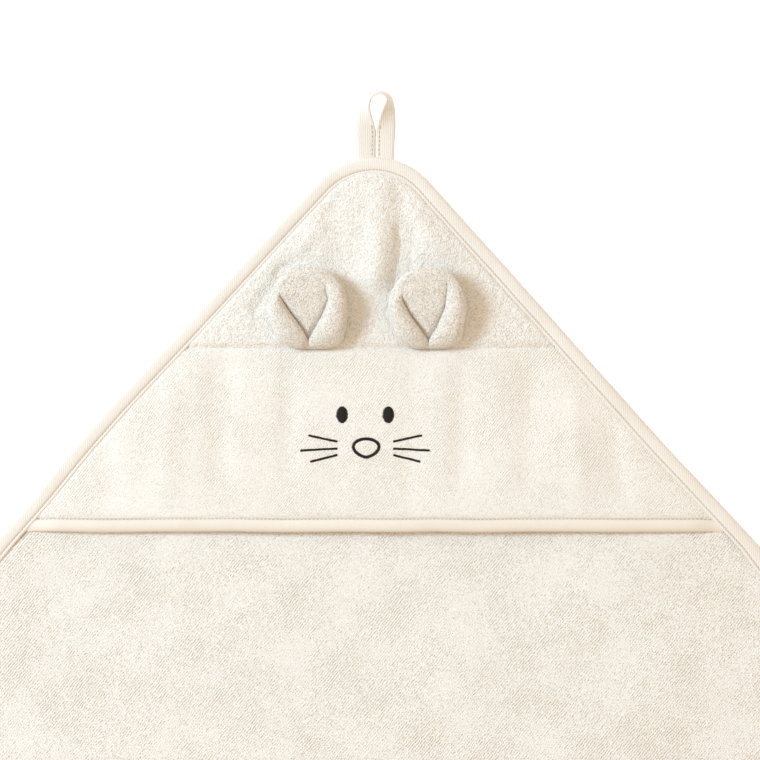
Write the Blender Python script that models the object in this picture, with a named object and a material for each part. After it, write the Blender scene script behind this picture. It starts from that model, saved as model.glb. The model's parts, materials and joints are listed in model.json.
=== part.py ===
"""Hooded baby towel, spread flat with its face up. Metres, +Z up.

The origin is the middle of the towel's underside and +Y runs towards the hood's corner.
Left and right are as seen from above with the hood at the top.

The towel is a terry square, sheared a little so that its hood corner is sharper than a right angle.
A woven tape binds its whole edge. A second layer, a plush panel sewn to a smoother face panel, makes
the hood: it is caught in the edge tape along two sides, and its open hem stands proud as a pocket.
Two folded ears, a hanging loop and a stitched face are sewn to the hood.

The cloth folds along four lines, so it is made as a middle and four corner flaps, hinged just above
their top surface.
"""

import math

import bmesh
import bpy
from mathutils import Matrix, Vector

MM = 0.001
GAP = 0.3 * MM  # left between pieces that touch on the real towel
SHARP_ANGLE = math.radians(35)  # edges sharper than this are shaded as edges
PIVOT_DISPLAY = 20 * MM

# The towel
SIDE = 750 * MM
HOOD_HALF_ANGLE = math.radians(41.8)
HALF_WIDTH = SIDE * math.sin(HOOD_HALF_ANGLE)
HALF_LENGTH = SIDE * math.cos(HOOD_HALF_ANGLE)
CORNER_RADIUS = 45 * MM
ARC_STEPS = 8
CLOTH_THICKNESS = 3.2 * MM

# Fold lines: the hood and foot fold across Y, the wings across X
HOOD_FOLD = 295 * MM
FOOT_FOLD = -290 * MM
WING_FOLD = 258 * MM
FOLD_HINGE_Z = 5.0 * MM

# Edge tape: folded over the cloth's pressed edge
TAPE_WIDTH = 9.8 * MM
TAPE_WALL = 0.9 * MM
TAPE_HEIGHT = 4.0 * MM
HOOD_TAPE_HEIGHT = 5.7 * MM
TAPE_ROUNDING = 0.8 * MM
PRESSED = 1.0 * MM  # thickness of cloth inside a tape
PRESSED_INSET = TAPE_WALL + GAP

# Hood
HEM_LOW = 312 * MM
HEM_HIGH = 320.4 * MM
SEAM_Y = 422 * MM
ARC_CENTRE_Y = HALF_LENGTH - CORNER_RADIUS / math.sin(HOOD_HALF_ANGLE)
APEX_Y = ARC_CENTRE_Y + CORNER_RADIUS
PANEL_THICKNESS = 2.6 * MM
PANEL_BASE_Z = CLOTH_THICKNESS + GAP
PANEL_LOFT = 7.0 * MM  # how far the middle of the hem stands off the towel
PANEL_FALL = 1.3  # exponent with which that falls away towards the apex
HEM_LIFT = TAPE_WALL + GAP  # room for the tape below the panel's lower edge
HEM_LIFT_RUN = 20 * MM  # the panel comes back down over this distance above the hem
HEM_PUFF_RUN = 2 * MM  # and swells to its full thickness over this one
RAMP_START = 10.6 * MM
RAMP_END = 12.6 * MM
HALF_COLUMNS = 6
INNER_COLUMN_SHARE = 0.35  # least share of the hood's width that its even columns take near the apex
EDGE_COLUMN_SHARE = 0.15
PLUSH_ROWS = 7
FACE_ROWS = 5
APEX_ROWS = (13.0 * MM, 10.6 * MM, 6 * MM, 1.5 * MM)  # the last rows, by their distance from the apex

# Stitching
THREAD_WIDTH = 0.6 * MM
THREAD_HEIGHT = 0.3 * MM
THREAD_INSET = 7.8 * MM

# Face
FACE_X = -5.2 * MM
EYE_Y = 382.2 * MM
EYE_SPREAD = 13.8 * MM
EYE_HALF_WIDTH = 3.6 * MM
EYE_HALF_HEIGHT = 4.95 * MM
EYE_STEPS = 20
NOSE_Y = 361.9 * MM
NOSE_HALF_WIDTH = 7.7 * MM
NOSE_RISE = 4.6 * MM
NOSE_DROP = 6.4 * MM
NOSE_TAPER = 1.25  # above 1, the lower half narrows towards its tip
NOSE_STEPS = 28
NOSE_LINE = 1.7 * MM
WHISKER_LINE = 1.3 * MM
WHISKER_START = 16.9 * MM
WHISKER_PARTS = 3
WHISKERS = (  # name, outer end's distance from the middle, height above the nose at each end
    ("upper", 33.6 * MM, 4.3 * MM, 7.9 * MM),
    ("middle", 38.4 * MM, 0.1 * MM, -1.1 * MM),
    ("lower", 32.6 * MM, -3.8 * MM, -7.7 * MM),
)
EMBROIDERY_HEIGHT = 0.6 * MM
EMBROIDERY_GAP = 0.4 * MM
BACKING_HALF_WIDTH = 46 * MM
BACKING_Y = (346 * MM, 394 * MM)
BACKING_ROWS = 3
BACKING_COLUMNS = 6

# Ears
EAR_X = (("left", -38.4 * MM), ("right", 31.2 * MM))
EAR_BASE_Y = 423.4 * MM
EAR_HINGE_Y = 421.9 * MM
EAR_HINGE_RISE = 4.0 * MM
EAR_LENGTH = 50 * MM
EAR_TILT = math.radians(12)
EAR_LAYER = 1.4 * MM
EAR_BASE_HALF_WIDTH = 15.5 * MM
EAR_HALF_WIDTH = 21.7 * MM
EAR_WIDEST = 0.55  # share of the ear's height at which it is widest
EAR_HEAD_SHAPE = 2.4  # exponent of the round head above that
EAR_FOLD_END = 0.58  # share of the ear's height at which the folded sides run out
EAR_FOLD_START = 0.06
EAR_FLAP_CLEAR = 0.8 * MM
EAR_FLAP_LEAST = 0.6 * MM
EAR_ROLL_RADIUS = 2.1 * MM  # of the folded sides at the base
EAR_ROLL_SWELL = 2.1 * MM  # how much wider the roll is half-way up
EAR_ROLL_RUN = 0.8
EAR_UNROLLED = 0.65  # share of the half turn that the roll has lost at the top
EAR_ROLL_STEPS = 4
EAR_ROWS = (0, 0.14, 0.28, 0.43, 0.58, 0.70, 0.81, 0.90, 0.96, 0.99)

# Hanging loop: the two edges of its tape, from the left root over the top to the right root
LOOP_X = 1.0 * MM
LOOP_ROOT_Y = APEX_Y + 0.5 * MM
LOOP_Z = 2.9 * MM
LOOP_THICKNESS = 1.6 * MM
LOOP_OUTER = (
    (-11.5, 0, 0), (-11.6, 12, 0), (-11.4, 22, 0.2), (-9.6, 31, 0.6), (-5.0, 36.8, 1.2), (2.0, 39.0, 1.6),
    (8.6, 36.4, 1.2), (11.4, 29.5, 0.6), (12.0, 21, 0.2), (11.6, 12, 0), (10.9, 0, 0),
)
LOOP_INNER = (
    (-1.1, 0, 0), (-1.1, 12, 0), (-1.8, 20, 2.0), (-4.0, 29, 6.0), (-1.6, 35.4, 8.5), (2.6, 37.4, 9.0),
    (6.6, 35.4, 8.5), (4.8, 28.6, 6.0), (1.9, 20, 2.0), (1.1, 12, 0), (1.1, 0, 0),
)
LOOP_STEPS_BETWEEN = 2
LOOP_COLUMNS = 3

# Care label
LABEL_HALF_WIDTH = 9 * MM
LABEL_LENGTH = 26 * MM
LABEL_THICKNESS = 0.4 * MM
LABEL_START = TAPE_WIDTH + 1 * MM
LABEL_X_SHARE = -0.26  # where on the lower left edge it is, as shares of the half width and half length
LABEL_Y_SHARE = -0.74

CREAM = (0.89, 0.83, 0.72)
PLUSH_CREAM = (0.91, 0.86, 0.76)
TAPE_CREAM = (0.86, 0.79, 0.67)
THREAD_CREAM = (0.80, 0.72, 0.60)
DARK_THREAD = (0.025, 0.020, 0.017)
WHITE = (0.92, 0.92, 0.90)


def clear_scene():
    for item in list(bpy.data.objects):
        bpy.data.objects.remove(item, do_unlink=True)


def material(name, colour, roughness):
    made = bpy.data.materials.new(name)
    made.use_nodes = True
    shader = made.node_tree.nodes["Principled BSDF"]
    shader.inputs["Base Color"].default_value = (*colour, 1)
    shader.inputs["Roughness"].default_value = roughness
    shader.inputs["Metallic"].default_value = 0
    return made


def place(bm, name, surface, pivot=None):
    """Makes the named object from a mesh in world coordinates, with its origin on its pivot, if any."""
    bmesh.ops.recalc_face_normals(bm, faces=bm.faces)
    mesh = bpy.data.meshes.new(name)
    if pivot:
        bm.transform(Matrix.Translation(-pivot.matrix_world.translation))
    bm.to_mesh(mesh)
    bm.free()
    mesh.materials.append(surface)
    mesh.shade_smooth()
    mesh.set_sharp_from_angle(angle=SHARP_ANGLE)
    made = bpy.data.objects.new(name, mesh)
    made.parent = pivot
    bpy.context.scene.collection.objects.link(made)
    return made


def hinge(name, point):
    """An empty on a joint's axis, for the pieces that turn about it."""
    empty = bpy.data.objects.new(name, None)
    empty.location = point
    empty.empty_display_size = PIVOT_DISPLAY
    bpy.context.scene.collection.objects.link(empty)
    bpy.context.view_layer.update()
    return empty


def lofted(sections, closed):
    """A mesh through sections of equal length. It joins its ends if closed, and caps them if not."""
    bm = bmesh.new()
    rings = [[bm.verts.new(point) for point in section] for section in sections]
    pairs = list(zip(rings, rings[1:]))
    if closed:
        pairs.append((rings[-1], rings[0]))
    else:
        bm.faces.new(rings[0])
        bm.faces.new(rings[-1])
    for ring, following in pairs:
        for i, vert in enumerate(ring):
            j = (i + 1) % len(ring)
            bm.faces.new((vert, ring[j], following[j], following[i]))
    return bm


def sheet(rows):
    """A closed sheet from rows of (under, over) point pairs."""
    bm = bmesh.new()
    under = [[bm.verts.new(low) for low, _ in row] for row in rows]
    over = [[bm.verts.new(high) for _, high in row] for row in rows]
    last_row, last_column = len(rows) - 1, len(rows[0]) - 1
    for r in range(last_row):
        for c in range(last_column):
            for side in (under, over):
                bm.faces.new((side[r][c], side[r][c + 1], side[r + 1][c + 1], side[r + 1][c]))
        for c in (0, last_column):
            bm.faces.new((under[r][c], under[r + 1][c], over[r + 1][c], over[r][c]))
    for c in range(last_column):
        for r in (0, last_row):
            bm.faces.new((under[r][c], under[r][c + 1], over[r][c + 1], over[r][c]))
    return bm


def outline(inset, z):
    """Points round the towel's rounded outline, this far in from its edge."""
    side_half_angle = math.pi / 2 - HOOD_HALF_ANGLE
    corners = (
        (0.0, HALF_WIDTH, side_half_angle),
        (math.pi / 2, HALF_LENGTH, HOOD_HALF_ANGLE),
        (math.pi, HALF_WIDTH, side_half_angle),
        (3 * math.pi / 2, HALF_LENGTH, HOOD_HALF_ANGLE),
    )
    points = []
    for direction, reach, half_angle in corners:
        to_centre = reach - CORNER_RADIUS / math.sin(half_angle)
        centre = Vector((math.cos(direction), math.sin(direction), 0)) * to_centre
        half_sweep = math.pi / 2 - half_angle
        for step in range(ARC_STEPS + 1):
            angle = direction + half_sweep * (2 * step / ARC_STEPS - 1)
            spoke = Vector((math.cos(angle), math.sin(angle), 0)) * (CORNER_RADIUS - inset)
            points.append(centre + spoke + Vector((0, 0, z)))
    return points


def cut(bm, x=None, y=None, keep=1):
    """Cuts along x or y, keeps the side above (1) or below (-1) it, and closes the cut."""
    point = Vector((x or 0, y or 0, 0))
    normal = Vector((0, -keep, 0)) if x is None else Vector((-keep, 0, 0))
    geometry = bm.verts[:] + bm.edges[:] + bm.faces[:]
    bmesh.ops.bisect_plane(bm, geom=geometry, plane_co=point, plane_no=normal, clear_outer=True)
    rim = [edge for edge in bm.edges if edge.is_boundary]
    bmesh.ops.holes_fill(bm, edges=rim, sides=0)


def cut_to_zone(bm, zone):
    """Keeps one fold zone of the towel: hood, foot, left, right or centre."""
    half_gap = GAP / 2
    if zone == "hood":
        cut(bm, y=HOOD_FOLD + half_gap, keep=1)
    elif zone == "foot":
        cut(bm, y=FOOT_FOLD - half_gap, keep=-1)
    elif zone == "left":
        cut(bm, x=-WING_FOLD - half_gap, keep=-1)
    elif zone == "right":
        cut(bm, x=WING_FOLD + half_gap, keep=1)
    else:
        cut(bm, y=HOOD_FOLD - half_gap, keep=-1)
        cut(bm, y=FOOT_FOLD + half_gap, keep=1)
        cut(bm, x=-WING_FOLD + half_gap, keep=1)
        cut(bm, x=WING_FOLD - half_gap, keep=-1)


def cloth():
    """The terry cloth: full thickness inside the tape, pressed thin under it."""
    inner = TAPE_WIDTH + GAP
    low = PRESSED_INSET
    high = PRESSED_INSET + PRESSED
    profile = (
        (inner, 0), (inner, low), (PRESSED_INSET, low),
        (PRESSED_INSET, high), (inner, high), (inner, CLOTH_THICKNESS),
    )
    return lofted([outline(inset, z) for inset, z in profile], closed=False)


def tape_profile(height):
    """(inset, z) round the section of a folded tape, open towards the cloth."""
    roof = height - TAPE_WALL
    return (
        (TAPE_WIDTH, 0), (TAPE_WIDTH, TAPE_WALL), (TAPE_WALL, TAPE_WALL), (TAPE_WALL, roof),
        (TAPE_WIDTH, roof), (TAPE_WIDTH, height), (TAPE_ROUNDING, height), (0, height - TAPE_ROUNDING),
        (0, TAPE_ROUNDING), (TAPE_ROUNDING, 0),
    )


def tape(height):
    return lofted([outline(inset, z) for inset, z in tape_profile(height)], closed=True)


def topstitch(height):
    """The thread that lies along an edge tape."""
    low = height + GAP
    near = THREAD_INSET
    far = THREAD_INSET + THREAD_WIDTH
    profile = ((near, low), (far, low), (far, low + THREAD_HEIGHT), (near, low + THREAD_HEIGHT))
    return lofted([outline(inset, z) for inset, z in profile], closed=True)


def inset_of(x, y):
    """How far a point of the hood lies inside the towel's edge."""
    rise = y - ARC_CENTRE_Y
    if rise > 0 and abs(x) < rise / math.tan(HOOD_HALF_ANGLE):
        return CORNER_RADIUS - math.hypot(x, rise)
    return (HALF_LENGTH - y) * math.sin(HOOD_HALF_ANGLE) - abs(x) * math.cos(HOOD_HALF_ANGLE)


def half_width_at(y, inset):
    """Half the hood's width at y, measured to a line this far inside its edge."""
    radius = CORNER_RADIUS - inset
    rise = y - ARC_CENTRE_Y
    if rise > radius * math.sin(HOOD_HALF_ANGLE):
        return math.sqrt(max(radius * radius - rise * rise, 0))
    return ((HALF_LENGTH - y) * math.sin(HOOD_HALF_ANGLE) - inset) / math.cos(HOOD_HALF_ANGLE)


def ramp(value, start, end):
    return min(max((value - start) / (end - start), 0), 1)


def loft_at(x, y):
    """How far the hood's dome lifts the panel at a point. It is level across the hem tape."""
    across = max(half_width_at(max(y, HEM_HIGH), RAMP_START), 1 * MM)
    along = ramp(y, HEM_HIGH, APEX_Y)
    return PANEL_LOFT * max(1 - (x / across) ** 2, 0) * (1 - along) ** PANEL_FALL


def panel_under(x, y):
    """Height of the hood panel's underside. It makes room for the hem tape along its lower edge."""
    inside = ramp(inset_of(x, y), RAMP_START, RAMP_END)
    near_hem = 1 - ramp(y, HEM_HIGH + GAP, HEM_HIGH + HEM_LIFT_RUN)
    return PANEL_BASE_Z + loft_at(x, y) + HEM_LIFT * inside * near_hem


def panel_over(x, y):
    """Height of its top: full thickness, but pressed inside the edge tape and the hem tape."""
    inside = ramp(inset_of(x, y), RAMP_START, RAMP_END)
    above_hem = ramp(y, HEM_HIGH + GAP, HEM_HIGH + HEM_PUFF_RUN)
    return panel_under(x, y) + PRESSED + (PANEL_THICKNESS - PRESSED) * inside * above_hem


def panel_columns(y):
    outer = half_width_at(y, PRESSED_INSET)
    inner = max(half_width_at(y, RAMP_END), INNER_COLUMN_SHARE * outer)
    middle = max(half_width_at(y, RAMP_START), inner + EDGE_COLUMN_SHARE * (outer - inner))
    right = [inner * k / HALF_COLUMNS for k in range(1, HALF_COLUMNS + 1)] + [middle, outer]
    return [-x for x in reversed(right)] + [0] + right


def panel(row_ys):
    """A hood panel as a sheet over these rows."""
    rows = []
    for y in row_ys:
        row = []
        for x in panel_columns(y):
            row.append((Vector((x, y, panel_under(x, y))), Vector((x, y, panel_over(x, y)))))
        rows.append(row)
    return sheet(rows)


def spread(start, end, count):
    return [start + (end - start) * k / count for k in range(count + 1)]


def hem_tape():
    """The folded tape over the face panel's lower edge, following the dome."""
    reach = half_width_at(HEM_HIGH, RAMP_END)
    roof = TAPE_WALL + PRESSED + 2 * GAP
    profile = (
        (HEM_HIGH, 0), (HEM_HIGH, TAPE_WALL), (HEM_LOW + TAPE_WALL, TAPE_WALL), (HEM_LOW + TAPE_WALL, roof),
        (HEM_HIGH, roof), (HEM_HIGH, roof + TAPE_WALL), (HEM_LOW + TAPE_ROUNDING, roof + TAPE_WALL),
        (HEM_LOW, roof), (HEM_LOW, TAPE_WALL), (HEM_LOW + TAPE_ROUNDING, 0),
    )
    sections = []
    for x in spread(-reach, reach, 2 * HALF_COLUMNS):
        base = panel_under(x, HEM_HIGH) - HEM_LIFT
        sections.append([Vector((x, y, base + z)) for y, z in profile])
    return lofted(sections, closed=False)


def strip(line, width, floor, height, closed=False):
    """A thin raised line along points of the hood. floor gives the height that it lies on."""
    sections = []
    count = len(line)
    for i, point in enumerate(line):
        before = line[i - 1] if closed or i else point
        after = line[(i + 1) % count] if closed or i < count - 1 else point
        side = Vector((before.y - after.y, after.x - before.x)).normalized() * width / 2
        corners = []
        for edge in (point - side, point + side):
            low = floor(edge.x, edge.y)
            corners += [Vector((*edge, low)), Vector((*edge, low + height))]
        sections.append([corners[0], corners[2], corners[3], corners[1]])
    return lofted(sections, closed)


def on_panel(x, y):
    return panel_over(x, y) + EMBROIDERY_GAP


def on_hem(x, y):
    return panel_under(x, HEM_HIGH) - HEM_LIFT + 2 * TAPE_WALL + PRESSED + 3 * GAP


def eye(centre_x):
    rings = [[], []]
    for step in range(EYE_STEPS):
        angle = 2 * math.pi * step / EYE_STEPS
        x = centre_x + EYE_HALF_WIDTH * math.cos(angle)
        y = EYE_Y + EYE_HALF_HEIGHT * math.sin(angle)
        for ring, lift in zip(rings, (0, EMBROIDERY_HEIGHT)):
            ring.append(Vector((x, y, on_panel(x, y) + lift)))
    return lofted(rings, closed=False)


def nose_line():
    """A rounded triangle: half an ellipse above, two sides curving to a soft point below."""
    line = []
    for step in range(NOSE_STEPS):
        angle = 2 * math.pi * step / NOSE_STEPS
        across, up = math.cos(angle), math.sin(angle)
        if up >= 0:
            x, y = NOSE_HALF_WIDTH * across, NOSE_RISE * up
        else:
            x = NOSE_HALF_WIDTH * math.copysign(abs(across) ** NOSE_TAPER, across)
            y = NOSE_DROP * up
        line.append(Vector((FACE_X + x, NOSE_Y + y)))
    return line


def backing():
    """The stiff patch behind the stitched face, inside the hood."""
    rows = []
    for y in spread(*BACKING_Y, BACKING_ROWS):
        row = []
        for x in spread(FACE_X - BACKING_HALF_WIDTH, FACE_X + BACKING_HALF_WIDTH, BACKING_COLUMNS):
            top = panel_under(x, y) - EMBROIDERY_GAP
            row.append((Vector((x, y, top - THREAD_HEIGHT)), Vector((x, y, top))))
        rows.append(row)
    return sheet(rows)


def ear_half_width(t):
    """Half the ear's width at share t of its height: a round head on a narrower base."""
    if t < EAR_WIDEST:
        swell = math.sin(math.pi / 2 * t / EAR_WIDEST)
        return EAR_BASE_HALF_WIDTH + (EAR_HALF_WIDTH - EAR_BASE_HALF_WIDTH) * swell
    return EAR_HALF_WIDTH * math.sqrt(1 - ((t - EAR_WIDEST) / (1 - EAR_WIDEST)) ** EAR_HEAD_SHAPE)


def ear_half_section(t):
    """(x, z, slope) from the ear's middle out, round its fold and back in over the front."""
    width = ear_half_width(t)
    radius = EAR_ROLL_RADIUS + EAR_ROLL_SWELL * math.sin(math.pi * min(t / EAR_ROLL_RUN, 1))
    flat = width - radius
    turn = math.pi * (1 - EAR_UNROLLED * ramp(t, EAR_FOLD_END, 1))
    points = [(flat * share, 0, 0) for share in (0, 0.5, 1)]
    for step in range(1, EAR_ROLL_STEPS + 1):
        angle = turn * step / EAR_ROLL_STEPS
        points.append((flat + radius * math.sin(angle), radius * (1 - math.cos(angle)), angle))
    opening = flat * (t - EAR_FOLD_START) / (EAR_FOLD_END - EAR_FOLD_START)
    tail = max(flat - max(opening, EAR_FLAP_CLEAR), EAR_FLAP_LEAST)
    x, z, _ = points[-1]
    for share in (0.5, 1):
        points.append((x + tail * share * math.cos(turn), z + tail * share * math.sin(turn), turn))
    return points


def ear_layer(frame, near, far):
    """One cloth layer of a folded ear, between two distances outside its middle surface."""
    rows = []
    for t in EAR_ROWS:
        right = ear_half_section(t)
        section = [(-x, z, -slope) for x, z, slope in reversed(right[1:])] + right
        row = []
        for x, z, slope in section:
            outward = Vector((math.sin(slope), 0, -math.cos(slope)))
            middle = Vector((x, t * EAR_LENGTH, z))
            row.append((frame @ (middle + outward * far), frame @ (middle + outward * near)))
        rows.append(row)
    return sheet(rows)


def smooth_through(points, between):
    """A Catmull-Rom curve through the points, with this many steps from one to the next."""
    ends = [points[0] * 2 - points[1]] + points + [points[-1] * 2 - points[-2]]
    curve = []
    for a, b, c, d in zip(ends, ends[1:], ends[2:], ends[3:]):
        for step in range(between):
            u = step / between
            bend = 2 * a - 5 * b + 4 * c - d
            twist = 3 * b - a - 3 * c + d
            curve.append(0.5 * (2 * b + (c - a) * u + bend * u * u + twist * u**3))
    return curve + [points[-1]]


def hanging_loop():
    """The looped tape: flat at its roots, turning on edge over the top."""
    root = Vector((LOOP_X, LOOP_ROOT_Y, LOOP_Z))
    edges = []
    for side in (LOOP_OUTER, LOOP_INNER):
        edges.append(smooth_through([root + Vector(point) * MM for point in side], LOOP_STEPS_BETWEEN))
    outer, inner = edges
    rows = []
    for i, (start, end) in enumerate(zip(outer, inner)):
        along = outer[min(i + 1, len(outer) - 1)] - outer[max(i - 1, 0)]
        along += inner[min(i + 1, len(inner) - 1)] - inner[max(i - 1, 0)]
        normal = (end - start).cross(along).normalized() * LOOP_THICKNESS / 2
        row = []
        for point in [start.lerp(end, k / LOOP_COLUMNS) for k in range(LOOP_COLUMNS + 1)]:
            row.append((point - normal, point + normal))
        rows.append(row)
    return sheet(rows)


def care_label():
    """A blank label, lying on the foot corner with one end at the tape."""
    edge_angle = math.pi / 2 - HOOD_HALF_ANGLE
    on_edge = Vector((HALF_WIDTH * LABEL_X_SHARE, HALF_LENGTH * LABEL_Y_SHARE, CLOTH_THICKNESS + GAP))
    turn = Matrix.Translation(on_edge) @ Matrix.Rotation(-edge_angle, 4, "Z")
    end = LABEL_START + LABEL_LENGTH
    corners = (
        (-LABEL_HALF_WIDTH, LABEL_START), (LABEL_HALF_WIDTH, LABEL_START),
        (LABEL_HALF_WIDTH, end), (-LABEL_HALF_WIDTH, end),
    )
    sections = [[turn @ Vector((x, y, z)) for x, y in corners] for z in (0, LABEL_THICKNESS)]
    return lofted(sections, closed=False)


def build_towel(terry, twill, thread, paper):
    cloth_names = {
        "centre": "towel_centre",
        "left": "towel_left_wing",
        "right": "towel_right_wing",
        "foot": "towel_foot_corner",
        "hood": "towel_hood_corner",
    }
    pivots = {
        "centre": None,
        "left": hinge("left_wing_hinge", (-WING_FOLD, 0, FOLD_HINGE_Z)),
        "right": hinge("right_wing_hinge", (WING_FOLD, 0, FOLD_HINGE_Z)),
        "foot": hinge("foot_corner_hinge", (0, FOOT_FOLD, FOLD_HINGE_Z)),
        "hood": hinge("hood_corner_hinge", (0, HOOD_FOLD, FOLD_HINGE_Z)),
    }
    for zone, name in cloth_names.items():
        piece = cloth()
        cut_to_zone(piece, zone)
        place(piece, name, terry, pivots[zone])
    for zone in ("left", "right", "foot", "hood"):
        height = HOOD_TAPE_HEIGHT if zone == "hood" else TAPE_HEIGHT
        for name, make, surface in (("edge_tape", tape, twill), ("edge_stitching", topstitch, thread)):
            piece = make(height)
            cut_to_zone(piece, zone)
            place(piece, f"{zone}_{name}", surface, pivots[zone])
    for upper, row in ((1, "upper"), (-1, "lower")):
        for right, column in ((1, "right"), (-1, "left")):
            piece = tape(TAPE_HEIGHT)
            cut_to_zone(piece, "centre")
            cut(piece, x=0, keep=right)
            cut(piece, y=0, keep=upper)
            place(piece, f"centre_edge_tape_{row}_{column}", twill)
    place(care_label(), "care_label", paper, pivots["foot"])
    return pivots["hood"]


def build_hood(pivot, plush, velour, twill, thread, dark, paper):
    plush_rows = spread(SEAM_Y + GAP / 2, APEX_Y - APEX_ROWS[0], PLUSH_ROWS)
    plush_rows += [APEX_Y - distance for distance in APEX_ROWS[1:]]
    face_rows = [HEM_LOW + TAPE_WALL + GAP, HEM_HIGH + GAP, HEM_HIGH + HEM_PUFF_RUN]
    face_rows += spread(HEM_HIGH + HEM_LIFT_RUN, SEAM_Y - GAP / 2, FACE_ROWS)
    place(panel(plush_rows), "hood_plush_panel", plush, pivot)
    place(panel(face_rows), "hood_face_panel", velour, pivot)
    place(hem_tape(), "hood_hem_tape", twill, pivot)
    reach = half_width_at(HEM_HIGH, RAMP_END) - GAP
    hem_line = [Vector((x, HEM_HIGH - THREAD_WIDTH)) for x in spread(-reach, reach, 2 * HALF_COLUMNS)]
    place(strip(hem_line, THREAD_WIDTH, on_hem, THREAD_HEIGHT), "hood_hem_stitching", thread, pivot)
    place(backing(), "embroidery_backing", paper, pivot)
    for side, sign in (("left", -1), ("right", 1)):
        place(eye(FACE_X + sign * EYE_SPREAD), f"{side}_eye", dark, pivot)
        for name, reach, start_rise, end_rise in WHISKERS:
            start = Vector((FACE_X + sign * WHISKER_START, NOSE_Y + start_rise))
            end = Vector((FACE_X + sign * reach, NOSE_Y + end_rise))
            line = [start.lerp(end, k / WHISKER_PARTS) for k in range(WHISKER_PARTS + 1)]
            whisker = strip(line, WHISKER_LINE, on_panel, EMBROIDERY_HEIGHT)
            place(whisker, f"{side}_{name}_whisker", dark, pivot)
    nose = strip(nose_line(), NOSE_LINE, on_panel, EMBROIDERY_HEIGHT, closed=True)
    place(nose, "nose_outline", dark, pivot)


def build_ears(parent, plush):
    for side, x in EAR_X:
        inner_edge = x + math.copysign(EAR_HALF_WIDTH, -x)
        floor = panel_over(inner_edge, EAR_BASE_Y) + GAP
        pivot = hinge(f"{side}_ear_hinge", (x, EAR_HINGE_Y, floor + EAR_HINGE_RISE))
        to_middle = EAR_LAYER + GAP / 2
        frame = Matrix.Translation((x, EAR_BASE_Y, floor + to_middle)) @ Matrix.Rotation(EAR_TILT, 4, "X")
        place(ear_layer(frame, GAP / 2, to_middle), f"{side}_ear_back_layer", plush, pivot)
        place(ear_layer(frame, -GAP / 2, -to_middle), f"{side}_ear_front_layer", plush, pivot)
        hang(pivot, parent)


def hang(pivot, parent):
    """Parents one hinge to another without moving it."""
    world = pivot.matrix_world.copy()
    pivot.parent = parent
    pivot.matrix_world = world


def build_loop(parent, twill):
    pivot = hinge("hanging_loop_hinge", (LOOP_X, LOOP_ROOT_Y, HOOD_TAPE_HEIGHT))
    place(hanging_loop(), "hanging_loop", twill, pivot)
    hang(pivot, parent)


clear_scene()
terry_cloth = material("terry cloth", CREAM, 0.95)
plush_cloth = material("plush terry", PLUSH_CREAM, 0.97)
velour_cloth = material("smooth terry", CREAM, 0.93)
twill_tape = material("twill tape", TAPE_CREAM, 0.85)
cream_thread = material("cream thread", THREAD_CREAM, 0.75)
dark_thread = material("dark thread", DARK_THREAD, 0.6)
label_cloth = material("label cloth", WHITE, 0.8)
hood = build_towel(terry_cloth, twill_tape, cream_thread, label_cloth)
build_hood(hood, plush_cloth, velour_cloth, twill_tape, cream_thread, dark_thread, label_cloth)
build_ears(hood, plush_cloth)
build_loop(hood, twill_tape)
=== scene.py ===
"""Looks of the hooded baby towel: terry, twill tape, plush hood and ears, hanging loop, stitched face.

Everything is in metres in the frame's own coordinates: +Y runs to the hood's corner and +Z is up.
The towel is one cloth that folds along four lines. A piece cannot bend across two folds, so the cloth is
a middle and four corner flaps, whose heights come from the same functions and meet point for point.
"""

import json
import math
import random

import bmesh
import bpy
from mathutils import Matrix, Vector, noise


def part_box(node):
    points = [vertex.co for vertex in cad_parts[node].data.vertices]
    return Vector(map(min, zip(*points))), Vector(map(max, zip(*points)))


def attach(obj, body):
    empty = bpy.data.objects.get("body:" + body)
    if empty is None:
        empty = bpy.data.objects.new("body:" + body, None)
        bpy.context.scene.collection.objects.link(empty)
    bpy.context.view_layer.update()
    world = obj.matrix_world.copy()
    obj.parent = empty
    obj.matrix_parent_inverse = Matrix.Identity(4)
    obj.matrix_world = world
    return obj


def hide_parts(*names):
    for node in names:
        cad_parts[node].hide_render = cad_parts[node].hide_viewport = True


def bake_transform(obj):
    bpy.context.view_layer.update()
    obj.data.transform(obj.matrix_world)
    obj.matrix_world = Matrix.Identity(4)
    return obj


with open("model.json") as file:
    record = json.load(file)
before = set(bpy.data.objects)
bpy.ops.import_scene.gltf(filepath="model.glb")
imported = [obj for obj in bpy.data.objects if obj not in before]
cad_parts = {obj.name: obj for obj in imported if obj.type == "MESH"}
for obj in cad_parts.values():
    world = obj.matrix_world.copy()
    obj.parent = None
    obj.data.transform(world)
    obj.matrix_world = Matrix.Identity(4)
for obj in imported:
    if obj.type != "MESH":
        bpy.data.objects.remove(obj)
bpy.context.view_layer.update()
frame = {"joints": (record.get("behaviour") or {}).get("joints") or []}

MM = 0.001
JOINTS = {joint["name"]: Vector(joint["pos_m"]) for joint in frame["joints"]}

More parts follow.
